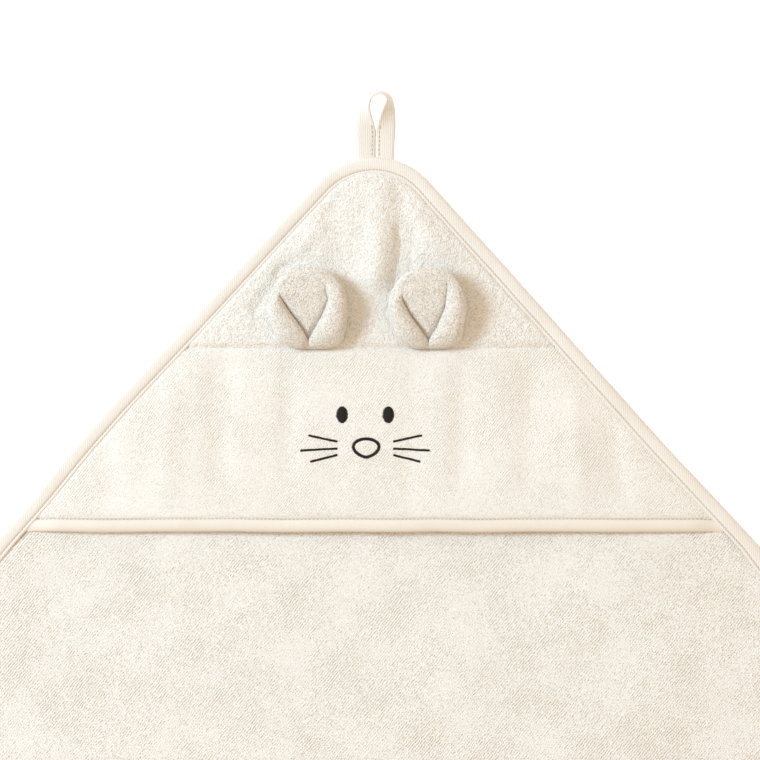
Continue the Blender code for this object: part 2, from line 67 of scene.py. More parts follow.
# The towel's outline, as in the CAD model
SIDE = 750 * MM
HOOD_HALF_ANGLE = math.radians(41.8)
SIDE_HALF_ANGLE = math.pi / 2 - HOOD_HALF_ANGLE
HALF_WIDTH = SIDE * math.sin(HOOD_HALF_ANGLE)
HALF_LENGTH = SIDE * math.cos(HOOD_HALF_ANGLE)
CORNER_RADIUS = 45 * MM
ARC_STEPS = 10
HOOD_CENTRE = HALF_LENGTH - CORNER_RADIUS / math.sin(HOOD_HALF_ANGLE)  # centres of the corners' arcs
WING_CENTRE = HALF_WIDTH - CORNER_RADIUS / math.sin(SIDE_HALF_ANGLE)
CORNERS = {  # direction from the towel's middle, half angle, distance to the arc's centre
    "right": (0.0, SIDE_HALF_ANGLE, WING_CENTRE),
    "hood": (math.pi / 2, HOOD_HALF_ANGLE, HOOD_CENTRE),
    "left": (math.pi, SIDE_HALF_ANGLE, WING_CENTRE),
    "foot": (3 * math.pi / 2, HOOD_HALF_ANGLE, HOOD_CENTRE),
}

# Fold lines, and where the middle cloth meets each flap, just before its fold
HOOD_FOLD = JOINTS["hood_corner_fold"].y
FOOT_FOLD = JOINTS["foot_corner_fold"].y
WING_FOLD = JOINTS["right_wing_fold"].x
SPLIT_BEFORE_FOLD = 7 * MM
FINE_AFTER_FOLD = 18 * MM

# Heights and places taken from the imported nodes
CLOTH_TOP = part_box("towel_centre")[1].z
TAPE_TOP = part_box("left_edge_tape")[1].z
HOOD_TAPE_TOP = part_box("hood_edge_tape")[1].z
APEX_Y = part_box("hood_edge_tape")[1].y
HEM_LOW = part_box("hood_hem_tape")[0].y
HEM_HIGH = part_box("hood_hem_tape")[1].y
SEAM_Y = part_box("hood_plush_panel")[0].y
PANEL_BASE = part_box("hood_plush_panel")[0].z
HOOD_LOFT = 3.0 * MM  # rise of the hem's middle
PANEL_THICKNESS = 2.0 * MM
PLUSH_EXTRA = 0.7 * MM
PANEL_UNDER_TAPE = 1.0 * MM
PANEL_UNDER_HEM = 0.6 * MM
PANEL_LEAST = 0.6 * MM  # a panel is never thinner than this
SEAM_DEPTH = 1.0 * MM
SEAM_HALF_WIDTH = 1.5 * MM
HEM_TUCK = 0.9 * MM  # how far the hem and the panels drop towards the edge tape

# Tape and cloth edge
TAPE_WIDTH = 9.8 * MM
CLOTH_INSET = 1.2 * MM
CLOTH_BOTTOM = 0.45 * MM
PRESSED_LOW = 1.2 * MM  # the cloth's bottom and top between the layers of the tape
PRESSED_HIGH = 2.2 * MM
PRESSED_EDGE = (1.4 * MM, 1.2 * MM)  # it swells this far before and past the tape's inner edge

# Stitches
STITCH_INSET = 7.8 * MM
STITCH_PITCH = 2.4 * MM
STITCH_DENT = 0.22  # millimetres
STITCH_DEPTH = 0.85 * MM  # below the top of the tape
SEWING_THREAD = 0.5 * MM

# How far each side of the hood bulges outwards, as (y, distance) in millimetres
EDGE_SWAY = {
    -1: ((285, 0), (305, 1.6), (335, 2.4), (362, 4.6), (385, 5.2), (405, 4.4), (430, 3.4), (490, 2.0),
         (545, 0)),
    1: ((285, 0), (302, 2.4), (330, 1.6), (358, 0)),
}

# Mesh sizes
CLOTH_GRID = 4 * MM
FOLD_GRID = 1.5 * MM
FACE_GRID = 1.6 * MM
PLUSH_GRID = 0.8 * MM

UP = Vector((0, 0, 1))
SIDES = (("left", -1), ("right", 1))


# ---- small helpers

def ramp(value, start, end):
    return min(max((value - start) / (end - start), 0), 1)


def smooth(value, start, end):
    share = ramp(value, start, end)
    return share * share * (3 - 2 * share)


def mix(a, b, share):
    return a + (b - a) * share


def wave(x, y, long_x, long_y, seed):
    """Soft noise from about -1 to 1, with its own wavelength in millimetres along each axis."""
    return noise.noise(Vector((x / (long_x * MM), y / (long_y * MM), seed)))


def polar(angle):
    return Vector((math.cos(angle), math.sin(angle), 0))


def steps(start, end, size):
    count = max(round(abs(end - start) / size), 1)
    return [mix(start, end, k / count) for k in range(count + 1)]


def curved(a, b, c, d, parts):
    """Points of a Catmull-Rom curve from b up to c, with a before them and d after them."""
    bend = 2 * a - 5 * b + 4 * c - d
    twist = 3 * b - a - 3 * c + d
    shares = [step / parts for step in range(parts)]
    return [0.5 * (2 * b + (c - a) * u + bend * u * u + twist * u**3) for u in shares]


def smooth_through(points, parts):
    """A smooth curve through points, with this many parts from one to the next."""
    ends = [points[0] * 2 - points[1]] + points + [points[-1] * 2 - points[-2]]
    curve = []
    for a, b, c, d in zip(ends, ends[1:], ends[2:], ends[3:]):
        curve += curved(a, b, c, d, parts)
    return curve + [points[-1]]


def smooth_ring(points, parts):
    """The same curve, closed."""
    count = len(points)
    ring = []
    for i in range(count):
        a, b, c, d = (points[(i + k) % count] for k in (-1, 0, 1, 2))
        ring += curved(a, b, c, d, parts)
    return ring


def through(table, at):
    """Value at a place along a table of (place, value), straight between its rows."""
    for (low, first), (high, second) in zip(table, table[1:]):
        if at <= high:
            return mix(first, second, ramp(at, low, high))
    return table[-1][1]


# ---- materials

TERRY_FIBRE = (0.75 * MM, 0.5 * MM, 0.5 * MM)  # a fibre's size along, across and up
TAPE_FIBRE = (0.5 * MM, 0.9 * MM, 0.5 * MM)
THREAD_FIBRE = (0.5 * MM, 0.16 * MM, 0.3 * MM)
THREAD_DEPTH = 0.12 * MM
WEAVE_DEPTH = 0.1 * MM
PLUSH_TURN = 0.9


def feed(tree, socket, value):
    """Links a node's socket to another's output, or sets it to a constant."""
    if isinstance(value, bpy.types.NodeSocket):
        tree.links.new(value, socket)
    else:
        socket.default_value = value


def fill(tree, made, **inputs):
    """Feeds a node's inputs by name, with _ for a space."""
    for name, value in inputs.items():
        feed(tree, made.inputs[name.replace("_", " ")], value)


def node(tree, kind, **inputs):
    made = tree.nodes.new(kind)
    fill(tree, made, **inputs)
    return made


def maths(tree, operation, *values, clamp=False):
    made = tree.nodes.new("ShaderNodeMath")
    made.operation = operation
    made.use_clamp = clamp
    for socket, value in zip(made.inputs, values):
        feed(tree, socket, value)
    return made.outputs[0]


def places(tree, turn=0.0, pitch=(MM, MM, MM)):
    """The point's own place on the cloth at rest, turned about Z and counted in pitches."""
    own = tree.nodes.new("ShaderNodeAttribute")
    own.attribute_name = "rest_place"
    turned = node(tree, "ShaderNodeVectorRotate", Vector=own.outputs["Vector"], Angle=-turn)
    turned.rotation_type = "Z_AXIS"
    scaled = tree.nodes.new("ShaderNodeVectorMath")
    scaled.operation = "DIVIDE"
    feed(tree, scaled.inputs[0], turned.outputs["Vector"])
    feed(tree, scaled.inputs[1], pitch)
    return scaled.outputs["Vector"]


def noise_at(tree, vector, scale, detail=2.0):
    """Noise from 0 to 1. Over plain places() its scale is in waves per millimetre."""
    made = node(tree, "ShaderNodeTexNoise", Vector=vector, Scale=scale, Detail=detail, Roughness=0.55)
    return made.outputs["Fac"]


def cells_at(tree, vector, randomness):
    made = node(tree, "ShaderNodeTexVoronoi", Vector=vector, Scale=1.0, Randomness=randomness)
    return made.outputs["Distance"]


def fabric(name, light, dark, sheen, roughness=0.95):
    """A matt cloth shader. weave() feeds its bump and its colours, a mix from light to dark, where dark
    is painted shade for the weave's low places and the dark end of its grain.
    """
    made = bpy.data.materials.new(name)
    made.use_nodes = True
    tree = made.node_tree
    shader = tree.nodes["Principled BSDF"]
    colours = tree.nodes.new("ShaderNodeMix")
    colours.data_type = "RGBA"
    fill(tree, colours, A=(*dark, 1), B=(*light, 1))
    fill(tree, shader, Base_Color=colours.outputs["Result"], Roughness=roughness)
    fill(tree, shader, Specular_IOR_Level=0.2, Sheen_Weight=sheen, Sheen_Roughness=0.5)
    return made, tree, shader, colours


def weave(tree, shader, colours, height, depth, share):
    """Feeds a height of 0 to 1 into a bump this deep, and a colour share into the colours."""
    bump = node(tree, "ShaderNodeBump", Height=height, Distance=depth, Strength=1.0)
    fill(tree, shader, Normal=bump.outputs["Normal"])
    fill(tree, colours, Factor=share)


def between(tree, value, low, high):
    """Maps low..high to 0..1, held at its ends."""
    made = node(tree, "ShaderNodeMapRange", Value=value, From_Min=low, From_Max=high)
    made.interpolation_type = "SMOOTHSTEP"
    return made.outputs["Result"]


def component(tree, vector, axis):
    return node(tree, "ShaderNodeSeparateXYZ", Vector=vector).outputs[axis]


def wavy(tree, rows, wobble, amount):
    """Ridges from -1 to 1, one to a row, that wander by this amount of a row."""
    wandering = maths(tree, "ADD", rows, maths(tree, "MULTIPLY", wobble, amount))
    return maths(tree, "SINE", maths(tree, "MULTIPLY", wandering, 2 * math.pi))


def shade_of(tree, middle, *parts):
    """A share held to 0..1: the middle value plus each (value, its own middle, weight)."""
    share = middle
    for value, centre, weight in parts:
        offset = maths(tree, "SUBTRACT", value, centre)
        share = maths(tree, "ADD", maths(tree, "MULTIPLY", offset, weight), share)
    return maths(tree, "ADD", share, 0.0, clamp=True)


def looped(name, light, dark, dash, turn, depth, painted_gap_shade, grain):
    """Looped terry: rows of short slanted loops with painted shade in the gaps between them, plainer in
    some patches.
    """
    made, tree, shader, colours = fabric(name, light, dark, sheen=0.25)
    length, pitch = dash
    rows = component(tree, places(tree, turn, (length, pitch, pitch)), "Y")
    wobble = noise_at(tree, places(tree, turn, (length * 1.5, pitch * 3, pitch * 3)), 1.0, 1.0)
    ridge = wavy(tree, rows, wobble, 1.1)
    broken = noise_at(tree, places(tree, turn, (length * 0.42, pitch * 0.55, pitch * 0.55)), 1.0, 1.0)
    patches = noise_at(tree, places(tree), 0.03, 3.0)
    lively = maths(tree, "ADD", broken, maths(tree, "MULTIPLY", patches, 0.6))
    gap = maths(tree, "MULTIPLY", between(tree, ridge, -0.1, -0.9), between(tree, lively, 0.76, 0.94))
    tufts = noise_at(tree, places(tree, turn, TERRY_FIBRE), 1.0)
    slow = noise_at(tree, places(tree), 0.012, 1.0)
    height = shade_of(tree, 0.62, (ridge, 0.0, 0.1), (gap, 0.0, -0.4), (tufts, 0.5, 1.4))
    # Colour: painted shade in the gaps between the rows, random grain of the tufts and a slow random
    # tone.
    share = shade_of(tree, 0.97, (gap, 0.0, -painted_gap_shade), (tufts, 0.5, grain), (slow, 0.5, 0.25))
    weave(tree, shader, colours, height, depth, share)
    return made


def plush(name, light, dark, tuft, depth, painted_gap_shade, grain):
    """Dense plush: round tufts in no order, with painted shade in the small hollows between them."""
    made, tree, shader, colours = fabric(name, light, dark, sheen=0.35)
    cells = cells_at(tree, places(tree, PLUSH_TURN, (tuft * 1.25, tuft, tuft)), 1.0)
    hollow = between(tree, cells, 0.4, 0.9)
    fibre = (tuft * 0.75, tuft * 0.55, tuft * 0.55)
    fibres = noise_at(tree, places(tree, PLUSH_TURN, fibre), 1.0, 1.0)
    clumps = noise_at(tree, places(tree, 0.0, (tuft * 2.6, tuft * 2.6, tuft * 2.6)), 1.0)
    slow = noise_at(tree, places(tree), 0.02)
    height = shade_of(tree, 0.6, (hollow, 0.0, -0.4), (fibres, 0.5, 1.6), (clumps, 0.5, 0.6))
    # Colour: painted shade in the hollows, random grain of the fibres and uneven random tone of the
    # clumps.
    uneven = (clumps, 0.5, 0.4), (slow, 0.5, 0.2)
    share = shade_of(tree, 1.0, (hollow, 0.0, -painted_gap_shade), (fibres, 0.5, grain), *uneven)
    weave(tree, shader, colours, height, depth, share)
    return made


def twill(name, light, dark, turn, pitch, depth, painted_rib_shade):
    """Woven tape: slanted ribs of fine threads, with painted shade in the grooves between ribs and
    between threads.
    """
    made, tree, shader, colours = fabric(name, light, dark, sheen=0.15, roughness=0.85)
    wobble = noise_at(tree, places(tree), 0.25, 1.0)
    across = component(tree, places(tree, turn, (pitch, pitch, pitch)), "X")
    ribs = wavy(tree, across, wobble, 0.8)
    threads = cells_at(tree, places(tree, turn, (pitch * 0.9, pitch * 0.28, pitch * 0.28)), 0.5)
    fibres = noise_at(tree, places(tree, turn, TAPE_FIBRE), 1.0)
    slow = noise_at(tree, places(tree), 0.03)
    height = shade_of(tree, 0.6, (ribs, 0.0, 0.28), (threads, 0.5, -0.25), (fibres, 0.5, 0.5))
    # Colour: lighter on the rib crests, darker in the grooves and between threads (painted shade); fibres
    # and slow give random tone.
    uneven = (fibres, 0.5, 0.5), (slow, 0.5, 0.3)
    share = shade_of(tree, 0.8, (ribs, 0.0, painted_rib_shade), (threads, 0.5, -painted_rib_shade), *uneven)
    weave(tree, shader, colours, height, depth, share)
    return made


def thread(name, light, dark, sheen, roughness):
    """Spun thread, with the fine streaks of its twist. Its colour follows the streaks' height, darker
    where they are low: painted shade.
    """
    made, tree, shader, colours = fabric(name, light, dark, sheen, roughness)
    streaks = noise_at(tree, places(tree, turn=0.5, pitch=THREAD_FIBRE), 1.0)
    weave(tree, shader, colours, streaks, THREAD_DEPTH, streaks)
    return made


def plain_weave(name, light, dark, pitch):
    """A flat woven ribbon or felt, for the label and the backing patch. Its colour is darker where its
    bump is low: painted shade between the threads, in cloudy random patches.
    """
    made, tree, shader, colours = fabric(name, light, dark, sheen=0.1, roughness=0.8)
    cells = cells_at(tree, places(tree, turn=0.7, pitch=(pitch, pitch, pitch)), 0.35)
    cloudy = noise_at(tree, places(tree), 0.2)
    share = maths(tree, "SUBTRACT", 1.0, maths(tree, "MULTIPLY", cells, cloudy), clamp=True)
    weave(tree, shader, colours, share, WEAVE_DEPTH, share)
    return made


# ---- meshes

def into_scene(name, data):
    made = bpy.data.objects.new(name, data)
    bpy.context.scene.collection.objects.link(made)
    return made


def piece(name, bm, surface, sharp_degrees=55):
    """Makes a closed mesh into a named piece. It remembers its places at rest for the weave."""
    bmesh.ops.recalc_face_normals(bm, faces=bm.faces)
    for vert in bm.verts:
        vert.co.x += sway_at(vert.co.x, vert.co.y)
    mesh = bpy.data.meshes.new(name)
    bm.to_mesh(mesh)
    bm.free()
    mesh.materials.append(surface)
    mesh.shade_smooth()
    mesh.set_sharp_from_angle(angle=math.radians(sharp_degrees))
    rest = mesh.attributes.new("rest_place", "FLOAT_VECTOR", "POINT")
    rest.data.foreach_set("vector", [c for vert in mesh.vertices for c in vert.co])
    made = into_scene(name, mesh)
    return made


def lofted(rings, bm=None, closed=False):
    """Joins rings of equal length into a tube. Its ends are capped unless it closes on itself."""
    bm = bm or bmesh.new()
    made = [[bm.verts.new(point) for point in ring] for ring in rings]
    pairs = list(zip(made, made[1:]))
    if closed:
        pairs.append((made[-1], made[0]))
    else:
        bm.faces.new(made[0])
        bm.faces.new(made[-1])
    for ring, following in pairs:
        for i, vert in enumerate(ring):
            j = (i + 1) % len(ring)
            bm.faces.new((vert, ring[j], following[j], following[i]))
    return bm


def flat_grid(xs, ys):
    bm = bmesh.new()
    rows = [[bm.verts.new((x, y, 0)) for x in xs] for y in ys]
    for row, following in zip(rows, rows[1:]):
        for i in range(len(xs) - 1):
            bm.faces.new((row[i], row[i + 1], following[i + 1], following[i]))
    return bm


def outline(inset):
    """Points round the towel's rounded outline, this far in from its edge."""
    points = []
    for direction, half_angle, distance in CORNERS.values():
        centre = polar(direction) * distance
        half_sweep = math.pi / 2 - half_angle
        for step in range(ARC_STEPS + 1):
            angle = direction + half_sweep * (2 * step / ARC_STEPS - 1)
            points.append(centre + polar(angle) * (CORNER_RADIUS - inset))
    return points


def trim(bm, inset):
    """Cuts a flat mesh to the towel's outline."""
    points = outline(inset)
    for start, end in zip(points, points[1:] + points[:1]):
        along = end - start
        outward = Vector((along.y, -along.x, 0)).normalized()
        geometry = bm.verts[:] + bm.edges[:] + bm.faces[:]
        if any((vert.co - start).dot(outward) > 1e-6 for vert in bm.verts):
            bmesh.ops.bisect_plane(
                bm, geom=geometry, dist=1e-6, plane_co=start, plane_no=outward, clear_outer=True
            )
    return bm


def solid(flat, top, bottom):
    """A closed sheet over a flat mesh, between two heights."""
    flat.verts.index_update()
    spots = [(vert.co.x, vert.co.y) for vert in flat.verts]
    bm = bmesh.new()
    upper = [bm.verts.new((x, y, top(x, y))) for x, y in spots]
    lower = [bm.verts.new((x, y, bottom(x, y))) for x, y in spots]
    for face in flat.faces:
        indices = [vert.index for vert in face.verts]
        bm.faces.new([upper[i] for i in indices])
        bm.faces.new([lower[i] for i in reversed(indices)])
    for edge in flat.edges:
        if edge.is_boundary:
            a, b = (vert.index for vert in edge.verts)
            bm.faces.new((upper[a], upper[b], lower[b], lower[a]))
    flat.free()
    return bm


def fuzz(bm, depth, size):
    """Moves every point a little along its normal, as tufts of pile do."""
    bm.normal_update()
    for vert in bm.verts:
        spot = vert.co / size
        vert.co += vert.normal * depth * (noise.noise(spot) + 0.5 * noise.noise(spot * 2.1))


def add_strand(bm, start, end, width, rise, up, sides=6, rings=5):
    """One visible stitch: thread that rises out of the cloth and dips back into it."""
    along = end - start
    across = along.cross(up).normalized()
    sections = []
    for k in range(rings):
        share = k / (rings - 1)
        swell = math.sin(math.pi * mix(0.16, 0.84, share))
        centre = start + along * share + up * rise * math.sin(math.pi * share)
        section = []
        for side in range(sides):
            angle = 2 * math.pi * side / sides
            section.append(centre + (across * math.cos(angle) + up * math.sin(angle)) * width / 2 * swell)
        sections.append(section)
    lofted(sections, bm)


def add_row(bm, spots, width, rise, up, bare=0.1):
    """Stitches from spot to spot, with this share of the way left bare at both ends of each."""
    for start, end in zip(spots, spots[1:]):
        add_strand(bm, start.lerp(end, bare), start.lerp(end, 1 - bare), width, rise, up)


# ---- heights of the cloth and the hood

def inset_of(x, y):
    """How far inside the towel's rounded edge a point lies."""
    x, y = abs(x), abs(y)
    if y > HOOD_CENTRE and x < (y - HOOD_CENTRE) / math.tan(HOOD_HALF_ANGLE):
        return CORNER_RADIUS - math.hypot(x, y - HOOD_CENTRE)
    if x > WING_CENTRE and y < (x - WING_CENTRE) / math.tan(SIDE_HALF_ANGLE):
        return CORNER_RADIUS - math.hypot(x - WING_CENTRE, y)
    return (HALF_LENGTH - y) * math.sin(HOOD_HALF_ANGLE) - x * math.cos(HOOD_HALF_ANGLE)


def past_tape(x, y, before, after):
    """Rises smoothly from 0 to 1, from this far before the tape's inner edge to this far past it."""
    return smooth(inset_of(x, y), TAPE_WIDTH - before, TAPE_WIDTH + after)


def sway_at(x, y):
    """How far a point moves sideways with the soft bulge of the hood's edges."""
    share = min(abs(x) / max(half_width_at(y, 0), MM), 1) ** 2
    side = 1 if x > 0 else -1
    return side * share * through(EDGE_SWAY[side], y / MM) * MM


def cloth_relief(x, y):
    """Slow waves of the towel, calm under the hood and beside the tape."""
    calm = 1 - 0.85 * smooth(y, HEM_LOW - 12 * MM, HEM_HIGH)
    calm *= 0.25 + 0.75 * smooth(inset_of(x, y), 8 * MM, 45 * MM)
    along = 0.6 * x + 0.8 * y
    across = 0.8 * x - 0.6 * y
    broad = wave(x, y, 95, 80, 1.3)
    slanted = wave(along, across, 120, 34, 5.7)
    return calm * (0.55 * broad + 0.3 * slanted) * MM


def cloth_top(x, y):
    return mix(PRESSED_HIGH, CLOTH_TOP + cloth_relief(x, y), past_tape(x, y, *PRESSED_EDGE))


def cloth_bottom(x, y):
    return mix(PRESSED_LOW, CLOTH_BOTTOM + 0.5 * cloth_relief(x, y), past_tape(x, y, *PRESSED_EDGE))


HOOD_CREASES = (  # from, to, half width and height, in millimetres; a valley's height is negative
    ((14, 532), (17, 492), 5.0, -1.5),
    ((20, 491), (16, 462), 6.5, -3.2),
    ((4, 520), (1, 496), 8, 1.4),
    ((4, 487), (0, 465), 9, 3.8),
    ((-24, 505), (-19, 466), 6, -1.1),
    ((-38, 494), (-40, 480), 6, 0.7),
    ((-69, 446), (-53, 468), 4.5, -1.8),
    ((-53, 468), (-38, 479), 4.5, -1.3),
    ((30, 500), (38, 480), 7, 0.9),
    ((94, 412), (92, 348), 9, -1.3),
    ((53, 408), (52, 350), 8, -1.2),
    ((-90, 410), (-92, 348), 9, -1.4),
    ((-50, 410), (-51, 352), 7, -1.2),
    ((24, 408), (22, 330), 8, -0.8),
    ((120, 385), (124, 342), 7, 1.0),
    ((143, 372), (148, 340), 7, -1.1),
    ((-118, 390), (-124, 340), 8, 1.0),
    ((-158, 362), (-156, 334), 7, -1.1),
)


def hood_relief(x, y):
    """Soft folds of the hood: listed creases, and long ripples that run towards the apex."""
    height = MM * (0.34 * wave(x, y, 16, 70, 9.1) + 0.35 * wave(x, y, 42, 50, 2.2))
    spot = Vector((x, y)) / MM
    for start, end, half_width, rise in HOOD_CREASES:
        start, end = Vector(start), Vector(end)
        along = end - start
        share = (spot - start).dot(along) / along.length_squared
        away = (spot - start - along * min(max(share, 0), 1)).length
        if away < 3 * half_width:
            height += rise * MM * math.exp(-((away / half_width) ** 2))
    return height * past_tape(x, y, 0, 9 * MM)


def half_width_at(y, inset):
    return ((HALF_LENGTH - y) * math.sin(HOOD_HALF_ANGLE) - inset) / math.cos(HOOD_HALF_ANGLE)


def hood_loft(x, y):
    """How far the hood's dome stands off the towel. It is level across the hem tape."""
    y = max(y, HEM_HIGH)
    across = max(half_width_at(y, TAPE_WIDTH), MM)
    return HOOD_LOFT * max(1 - (x / across) ** 2, 0) * (1 - ramp(y, HEM_HIGH, APEX_Y)) ** 0.7


def clear_of_tape(x, y):
    """Rises smoothly from 0 at the edge tape to 1 well inside it."""
    return past_tape(x, y, 1 * MM, 13 * MM)


def panel_bottom(x, y):
    return PANEL_BASE + hood_loft(x, y) + HEM_TUCK * clear_of_tape(x, y)


def seam_dip(y):
    return SEAM_DEPTH * math.exp(-(((y - SEAM_Y) / SEAM_HALF_WIDTH) ** 2))


def panel_puff(x, y, thickness):
    return mix(PANEL_UNDER_TAPE, thickness, past_tape(x, y, 1.2 * MM, 1.6 * MM))


def face_top(x, y):
    past_hem = smooth(y, HEM_HIGH - 0.6 * MM, HEM_HIGH + 1.6 * MM)
    puff = mix(PANEL_UNDER_HEM, panel_puff(x, y, PANEL_THICKNESS), past_hem)
    relief = hood_relief(x, y) * smooth(y, HEM_HIGH, HEM_HIGH + 14 * MM)
    return panel_bottom(x, y) + max(puff + relief - seam_dip(y), PANEL_LEAST)


def plush_top(x, y):
    fine = wave(x, y, 1.9, 1.9, 3.0)
    coarse = wave(x, y, 4.2, 4.2, 8.0)
    tuft = 0.3 * MM * (fine + coarse) * past_tape(x, y, 1.0 * MM, 2 * MM)
    puff = panel_puff(x, y, PANEL_THICKNESS + PLUSH_EXTRA * smooth(y, SEAM_Y, SEAM_Y + 4 * MM))
    return panel_bottom(x, y) + max(puff + hood_relief(x, y) - seam_dip(y), PANEL_LEAST) + tuft


# ---- the towel

def build_cloth(surface):
    top_split = HOOD_FOLD - SPLIT_BEFORE_FOLD
    foot_split = FOOT_FOLD + SPLIT_BEFORE_FOLD
    wing_split = WING_FOLD - SPLIT_BEFORE_FOLD
    middle_xs = steps(-wing_split, wing_split, CLOTH_GRID)
    middle_ys = steps(foot_split, top_split, CLOTH_GRID)

    def away(split, fold, end):
        sign = 1 if end > split else -1
        fine_end = fold + sign * FINE_AFTER_FOLD
        return steps(split, fine_end, FOLD_GRID) + steps(fine_end, end, CLOTH_GRID)[1:]

    flaps = (
        ("hood_corner", middle_xs, away(top_split, HOOD_FOLD, HALF_LENGTH)),
        ("foot_corner", middle_xs, away(foot_split, FOOT_FOLD, -HALF_LENGTH)),
        ("left_wing", away(-wing_split, -WING_FOLD, -HALF_WIDTH), middle_ys),
        ("right_wing", away(wing_split, WING_FOLD, HALF_WIDTH), middle_ys),
    )
    bm = solid(trim(flat_grid(middle_xs, middle_ys), CLOTH_INSET), cloth_top, cloth_bottom)
    middle = piece("terry_centre", bm, surface)
    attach(middle, "centre")
    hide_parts("towel_centre")
    for body, xs, ys in flaps:
        bm = solid(trim(flat_grid(xs, ys), CLOTH_INSET), cloth_top, cloth_bottom)
        flap = piece(f"terry_{body}", bm, surface)
        bend(flap, body)
        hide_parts(f"towel_{body}")


def bend(made, body):
    """Bakes a piece's place into its mesh."""
    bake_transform(made)


def corner_path(corner, before, after, spacing):
    """(point, inward, distance) along the edge: along one side, round the corner, along the next."""
    direction, half_angle, distance = CORNERS[corner]
    half_sweep = math.pi / 2 - half_angle
    centre = polar(direction) * distance
    tangent = CORNER_RADIUS / math.tan(half_angle)
    run_in, run_out = before - tangent, after - tangent
    arc = 2 * half_sweep * CORNER_RADIUS
    path = []
    for at in steps(0, run_in + arc + run_out, spacing):
        angle = direction + half_sweep * (2 * ramp(at, run_in, run_in + arc) - 1)
        outward = polar(angle)
        travel = Vector((-outward.y, outward.x, 0))
        point = centre + outward * CORNER_RADIUS
        point += travel * (min(at - run_in, 0) + max(at - run_in - arc, 0))
        path.append((point, -outward, at))
    return path


def tape_top(y):
    """The edge tape is thicker where it also wraps the hood."""
    return mix(TAPE_TOP, HOOD_TAPE_TOP, smooth(y, HEM_LOW - 12 * MM, HEM_HIGH + 4 * MM))


def tape_section(top, dent):
    """(inset, height) round a folded tape: over the top, round the edge, underneath and back inside."""
    top /= MM
    roof = top - 1.45
    section = (
        (9.9, top - 0.85), (9.5, top - 0.45), (8.8, top - 0.22), (8.3, top - 0.4),
        (STITCH_INSET / MM, top - 0.8 - dent), (7.3, top - 0.4), (6.4, top - 0.12), (5.0, top),
        (3.2, top - 0.03), (1.9, top - 0.22), (0.9, top - 0.7), (0.25, top * 0.68), (0, top * 0.46),
        (0.3, top * 0.24), (1.1, 0.3), (2.4, 0.1), (6, 0.1), (9.4, 0.12), (9.8, 0.5), (9.4, 0.9),
        (5, 0.95), (1.6, 1.0), (1.05, top * 0.42), (1.9, roof), (5, roof), (9.4, roof + 0.05),
    )
    return [(inset * MM, height * MM) for inset, height in section]


def edge_drift(point):
    """How far the tape and its stitches wander inwards from an even line."""
    return 0.35 * MM * wave(point.x, point.y, 40, 40, 4.4)


def build_edge(tape, sewing):
    wing_share = 1 - WING_FOLD / HALF_WIDTH
    upper = SIDE * (wing_share + HOOD_FOLD / HALF_LENGTH) / 2  # two tapes meet midway between two folds
    lower = SIDE * (wing_share - FOOT_FOLD / HALF_LENGTH) / 2
    tapes = (
        ("right", "right_wing", lower, upper),
        ("hood", "hood_corner", SIDE - upper, SIDE - upper),
        ("left", "left_wing", upper, lower),
        ("foot", "foot_corner", SIDE - lower, SIDE - lower),
    )
    extra_nodes = {
        "hood": ("centre_edge_tape_upper_left", "centre_edge_tape_upper_right"),
        "foot": ("centre_edge_tape_lower_left", "centre_edge_tape_lower_right"),
    }
    for name, body, before, after in tapes:
        path = corner_path(name, before, after, STITCH_PITCH / 2)
        rings = []
        for i, (point, inward, at) in enumerate(path):
            dent = STITCH_DENT if i % 2 == 0 else 0
            swell = 0.16 * MM * wave(point.x, point.y, 16, 16, 6.1)
            section = tape_section(tape_top(point.y) + swell, dent)
            shift = edge_drift(point)
            rings.append([point + inward * (inset + shift) + UP * z for inset, z in section])
        made = piece(f"edge_binding_{name}", lofted(rings), tape, 75)
        bend(made, body)
        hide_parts(f"{name}_edge_tape", *extra_nodes.get(name, ()))

        spots = []
        for point, inward, at in path[::2]:
            inset = STITCH_INSET + edge_drift(point)
            spots.append(point + inward * inset + UP * (tape_top(point.y) - STITCH_DEPTH))
        stitches = bmesh.new()
        add_row(stitches, spots, SEWING_THREAD, 0.22 * MM, UP)
        row = piece(f"edge_stitches_{name}", stitches, sewing)
        bend(row, body)
        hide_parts(f"{name}_edge_stitching")


# ---- the hood

HEM_END_INSET = 4.5 * MM  # from the towel's edge
HEM_STITCH_Y = 7.75 * MM  # from the hem's lower edge
HEM_STITCH_Z = 1.35 * MM  # over the panel's underside
HEM_STITCH_START = 7 * MM
HEM_SECTION = (  # (distance from the hem's lower edge, height) round the rolled tape, in millimetres
    (9.0, 1.9), (8.7, 2.35), (8.1, 1.75), (7.4, 2.75), (6.2, 3.8), (4.4, 4.3), (2.4, 4.05), (0.9, 3.1),
    (0.1, 1.9), (0.4, 0.7), (1.5, 0.0), (3.4, -0.1), (8.2, 0.05), (8.4, 0.4), (8.0, 0.6), (3.0, 0.7),
    (1.5, 1.1), (1.5, 1.5), (2.6, 1.55), (8.6, 1.5),
)


def build_panels(face_surface, plush_surface):
    panels = (
        ("face", face_surface, HEM_LOW, HEM_LOW + 1.3 * MM, SEAM_Y, FACE_GRID, face_top),
        ("plush", plush_surface, SEAM_Y, SEAM_Y, APEX_Y, PLUSH_GRID, plush_top),
    )
    for kind, surface, widest, low, high, grid, top in panels:
        reach = half_width_at(widest, 0)
        flat = flat_grid(steps(-reach, reach, grid), steps(low, high, grid))
        bm = solid(trim(flat, CLOTH_INSET), top, panel_bottom)
        panel = piece(f"{kind}_panel", bm, surface)
        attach(panel, "hood_corner")
        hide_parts(f"hood_{kind}_panel")


def hem_drift(x):
    """How far the hem tape and its stitches wander up the hood from a straight line."""
    return 0.65 * MM * wave(x, 0, 36, 1, 7.7)


